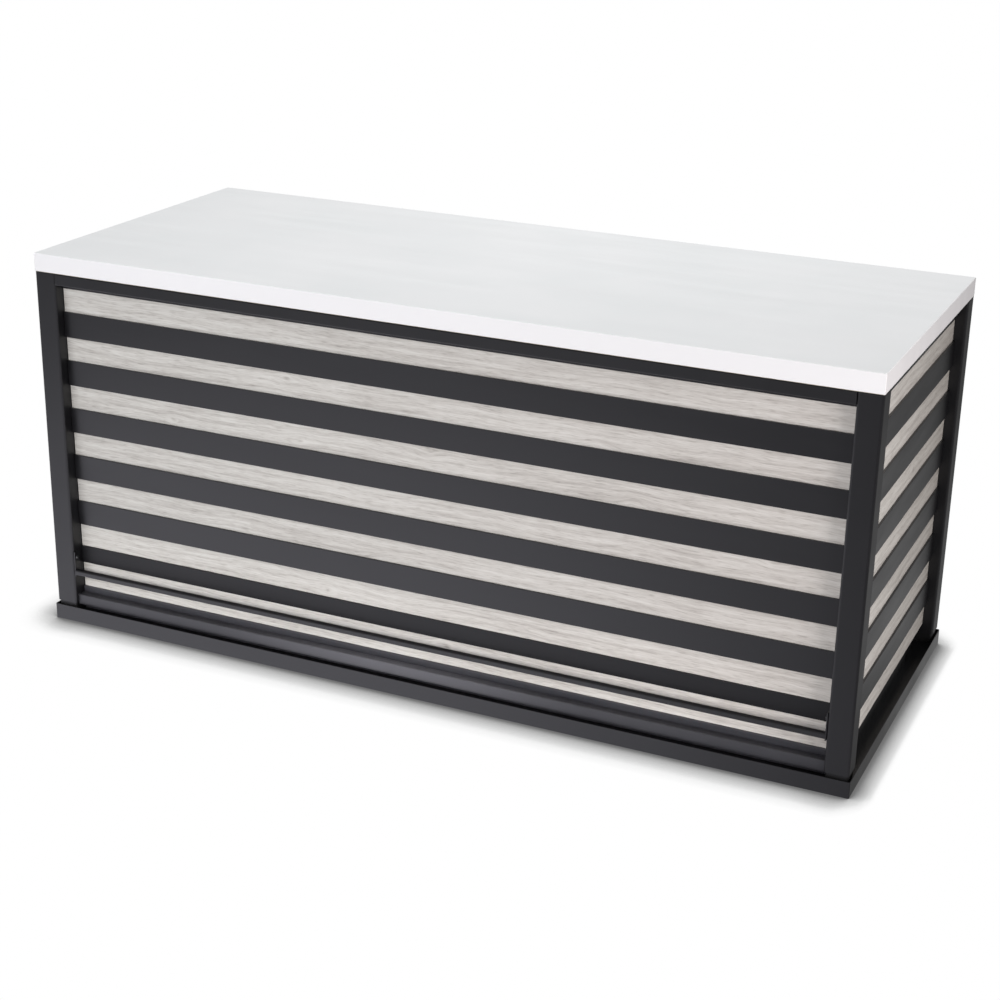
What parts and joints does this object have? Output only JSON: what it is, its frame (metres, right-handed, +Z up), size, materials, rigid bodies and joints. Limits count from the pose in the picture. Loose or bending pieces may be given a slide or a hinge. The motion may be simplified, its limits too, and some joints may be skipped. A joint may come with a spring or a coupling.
{
  "type": "buffet serving station",
  "caption": "Long buffet serving station: black tube frame on a low base, grey and black striped panels on three sides, an open staff side and a lift-off white top.",
  "frame": {"origin": "on the floor under the middle of the base", "axes": "+X along the length to the guests' right, +Y from the guests' side to the open staff side, +Z up"},
  "size_m": [1.838, 0.771, 0.845],
  "materials": {
    "white_laminate": "satin white laminate on board",
    "grey_oak_laminate": "matt grey oak laminate with lengthwise grain",
    "black_laminate": "satin black laminate",
    "black_powder_coat": "satin black powder coat on steel",
    "black_plastic": "matt black moulded plastic",
    "zinc_steel": "zinc plated steel"
  },
  "bodies": {
    "frame": {"base_pan": "black_powder_coat", "post_front_left": "black_powder_coat", "post_front_right": "black_powder_coat", "post_back_left": "black_powder_coat", "post_back_right": "black_powder_coat", "post_cap_front_left": "black_plastic", "post_cap_front_right": "black_plastic", "post_cap_back_left": "black_plastic", "post_cap_back_right": "black_plastic", "post_foot_plug_front_left": "black_plastic", "post_foot_plug_front_right": "black_plastic", "post_foot_plug_back_left": "black_plastic", "post_foot_plug_back_right": "black_plastic", "top_rail_front": "black_powder_coat", "top_rail_back": "black_powder_coat", "top_rail_left": "black_powder_coat", "top_rail_right": "black_powder_coat", "bottom_rail_front": "black_powder_coat", "bottom_rail_back": "black_powder_coat", "bottom_rail_left": "black_powder_coat", "bottom_rail_right": "black_powder_coat", "top_bearer": "black_powder_coat", "front_guard_bar": "black_powder_coat", "panel_foot_stop": "black_laminate", "left_panel_board": "grey_oak_laminate", "left_panel_strip_1": "black_laminate", "left_panel_strip_2": "black_laminate", "left_panel_strip_3": "black_laminate", "left_panel_strip_4": "black_laminate", "left_panel_strip_5": "black_laminate", "left_panel_strip_6": "black_laminate", "left_panel_strip_7": "black_laminate", "right_panel_board": "grey_oak_laminate", "right_panel_strip_1": "black_laminate", "right_panel_strip_2": "black_laminate", "right_panel_strip_3": "black_laminate", "right_panel_strip_4": "black_laminate", "right_panel_strip_5": "black_laminate", "right_panel_strip_6": "black_laminate", "right_panel_strip_7": "black_laminate"},
    "top": {"serving_top": "white_laminate", "locating_pin_front_left": "zinc_steel", "locating_pin_front_right": "zinc_steel", "locating_pin_back_left": "zinc_steel", "locating_pin_back_right": "zinc_steel"},
    "front_panel": {"front_panel_board": "grey_oak_laminate", "front_panel_strip_1": "black_laminate", "front_panel_strip_2": "black_laminate", "front_panel_strip_3": "black_laminate", "front_panel_strip_4": "black_laminate", "front_panel_strip_5": "black_laminate", "front_panel_strip_6": "black_laminate", "front_panel_strip_7": "black_laminate", "front_panel_strip_8": "black_laminate"},
    "foot_front_left": {"levelling_foot_front_left": "zinc_steel"},
    "foot_front_right": {"levelling_foot_front_right": "zinc_steel"},
    "foot_back_left": {"levelling_foot_back_left": "zinc_steel"},
    "foot_back_right": {"levelling_foot_back_right": "zinc_steel"}
  },
  "joints": [
    {"name": "top_lift", "type": "slide", "parent": "frame", "child": "top", "axis": [0, 0, 1], "range_m": [0, 0.25]},
    {"name": "front_panel_tilt", "type": "hinge", "parent": "frame", "child": "front_panel", "pos_m": [0, -0.33603, 0.0228], "axis": [-1, 0, 0], "range_deg": [0, 12]},
    {"name": "foot_front_left_travel", "type": "slide", "parent": "frame", "child": "foot_front_left", "axis": [0, 0, -1], "range_m": [0, 0.015]},
    {"name": "foot_front_right_travel", "type": "slide", "parent": "frame", "child": "foot_front_right", "axis": [0, 0, -1], "range_m": [0, 0.015]},
    {"name": "foot_back_left_travel", "type": "slide", "parent": "frame", "child": "foot_back_left", "axis": [0, 0, -1], "range_m": [0, 0.015]},
    {"name": "foot_back_right_travel", "type": "slide", "parent": "frame", "child": "foot_back_right", "axis": [0, 0, -1], "range_m": [0, 0.015]}
  ]
}
